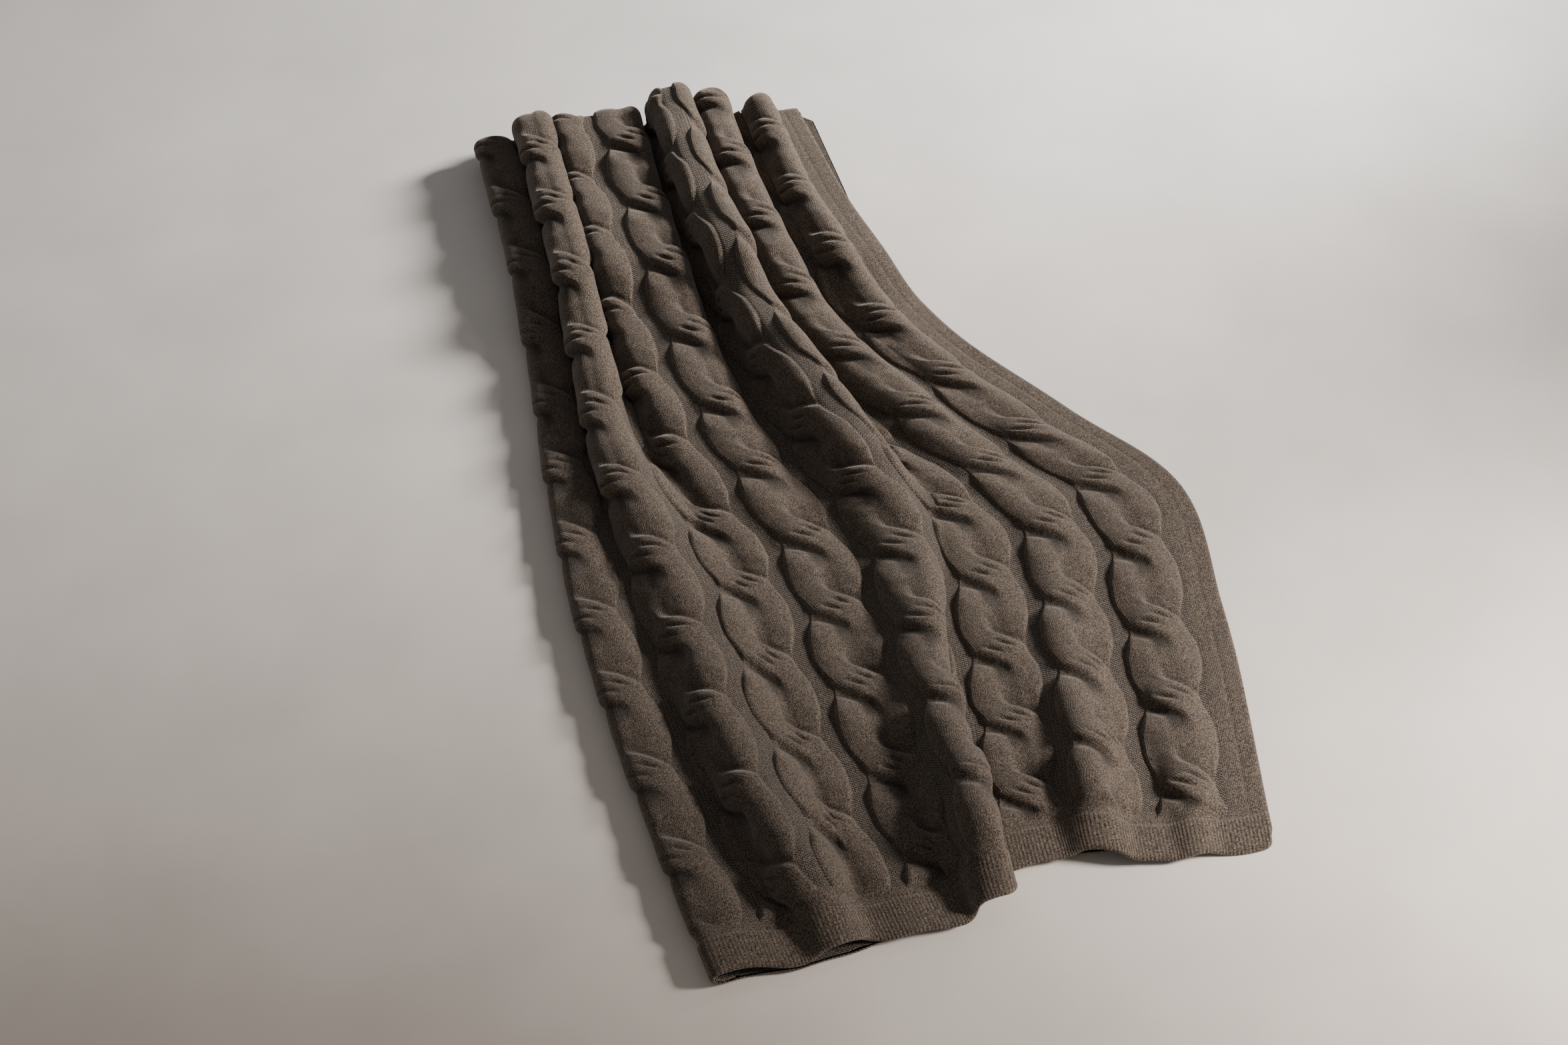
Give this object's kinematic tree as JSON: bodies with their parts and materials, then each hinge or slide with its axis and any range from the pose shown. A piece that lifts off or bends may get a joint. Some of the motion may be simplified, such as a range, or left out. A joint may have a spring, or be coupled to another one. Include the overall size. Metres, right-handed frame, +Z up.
{
  "type": "cable-knit throw blanket",
  "caption": "Soft cable-knit throw laid out on a surface, with one side and the far end turned under and loose lengthwise folds.",
  "frame": {"origin": "centre of the laid-out throw, on the surface it rests on", "axes": "+Z up from the surface, +Y along the length towards the end that is turned under, the near hem faces -Y"},
  "size_m": [0.9684, 1.4063, 0.0953],
  "materials": {
    "knit": "matte"
  },
  "bodies": {
    "root": {"blanket": "knit"}
  },
  "joints": []
}
